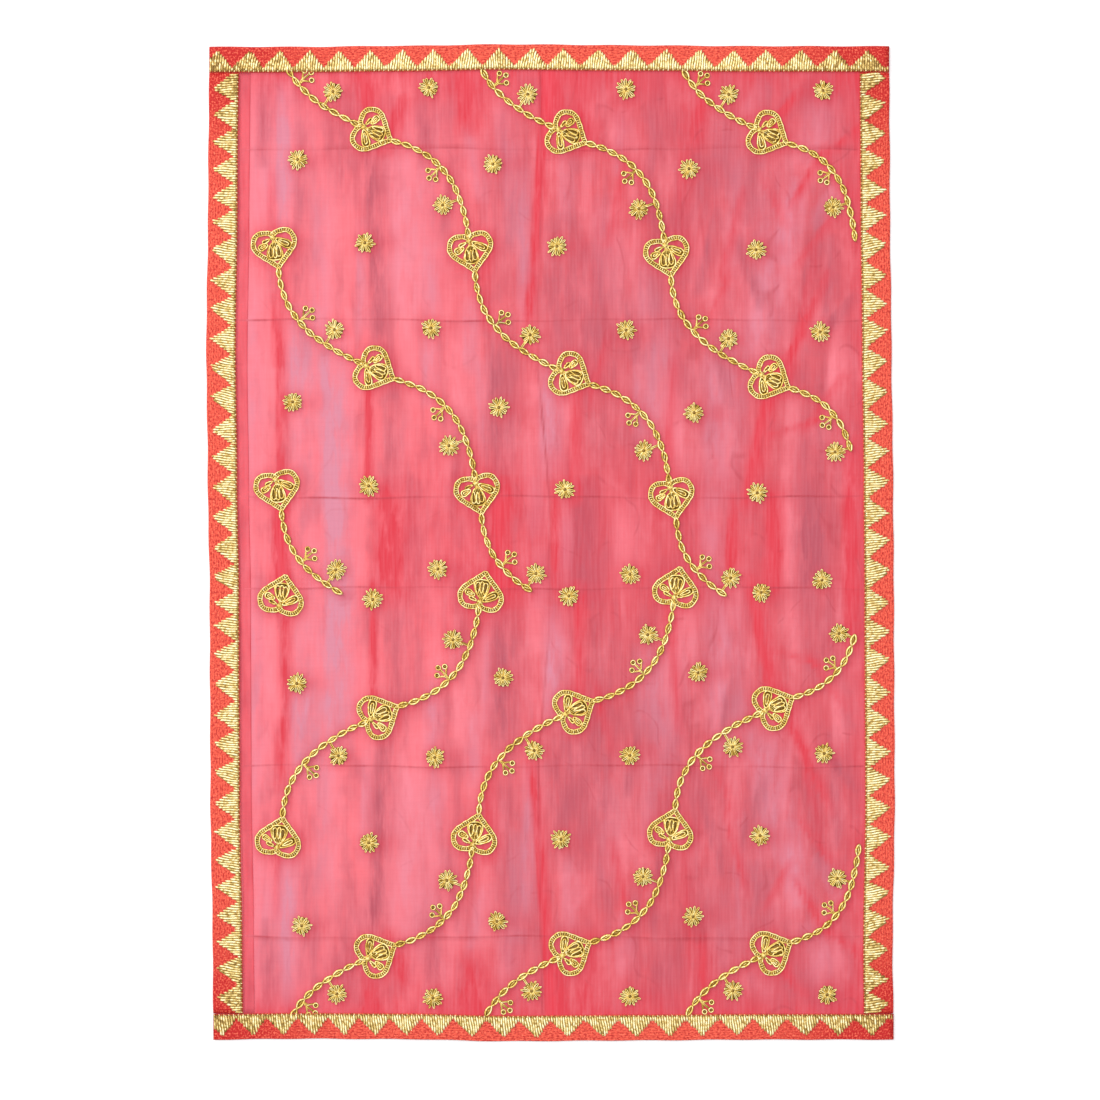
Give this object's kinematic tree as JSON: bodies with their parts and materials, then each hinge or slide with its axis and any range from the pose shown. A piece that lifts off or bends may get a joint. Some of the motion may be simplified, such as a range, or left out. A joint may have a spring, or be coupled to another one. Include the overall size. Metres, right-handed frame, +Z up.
{
  "type": "chunri",
  "caption": "Flat rectangular sheer net chunri with a woven triangle lace border and gold thread vines, hearts and small flowers.",
  "frame": {"origin": "centre of the laid-out cloth, on the surface that it lies on", "axes": "+Y up the cloth's long side to the top of the picture, +X across it to the picture's right, +Z up from the surface"},
  "size_m": [0.5999, 0.869, 0.0043],
  "materials": {
    "organza": "sheer red net, soft vertical streaks where it ripples, slight sheen",
    "hem": "doubled red net, a little deeper than the panel",
    "lace_ground": "opaque woven red ribbon with gold yarn triangles",
    "zari_thread": "metallic gold thread, couched and twisted, glinting"
  },
  "bodies": {
    "root": {"net_panel": "organza", "hem_left": "hem", "lace_top": "lace_ground", "lace_bottom": "lace_ground", "lace_left": "lace_ground", "lace_right": "lace_ground", "vine_a_upper": "zari_thread", "vine_a_lower": "zari_thread", "vine_b_upper": "zari_thread", "vine_b_lower": "zari_thread", "vine_c_upper": "zari_thread", "vine_c_lower": "zari_thread", "vine_d_upper": "zari_thread", "vine_d_lower": "zari_thread", "vine_e_upper": "zari_thread", "vine_e_lower": "zari_thread", "flower_lower_1_1": "zari_thread", "flower_lower_1_2": "zari_thread", "flower_lower_1_3": "zari_thread", "flower_lower_2_1": "zari_thread", "flower_lower_2_2": "zari_thread", "flower_lower_2_3": "zari_thread", "flower_lower_3_1": "zari_thread", "flower_lower_3_2": "zari_thread", "flower_lower_3_3": "zari_thread", "flower_lower_4_1": "zari_thread", "flower_lower_4_2": "zari_thread", "flower_lower_4_3": "zari_thread", "flower_lower_5_1": "zari_thread", "flower_lower_5_2": "zari_thread", "flower_lower_5_3": "zari_thread", "flower_lower_6_1": "zari_thread", "flower_lower_6_2": "zari_thread", "flower_lower_6_3": "zari_thread", "flower_upper_1_1": "zari_thread", "flower_upper_1_2": "zari_thread", "flower_upper_1_3": "zari_thread", "flower_upper_2_1": "zari_thread", "flower_upper_2_2": "zari_thread", "flower_upper_2_3": "zari_thread", "flower_upper_3_1": "zari_thread", "flower_upper_3_2": "zari_thread", "flower_upper_3_3": "zari_thread", "flower_upper_4_1": "zari_thread", "flower_upper_4_2": "zari_thread", "flower_upper_4_3": "zari_thread", "flower_upper_5_1": "zari_thread", "flower_upper_5_2": "zari_thread", "flower_upper_5_3": "zari_thread", "flower_upper_6_1": "zari_thread", "flower_upper_6_2": "zari_thread", "flower_upper_6_3": "zari_thread", "flower_upper_7_1": "zari_thread", "flower_upper_7_2": "zari_thread", "flower_upper_7_3": "zari_thread"}
  },
  "joints": []
}
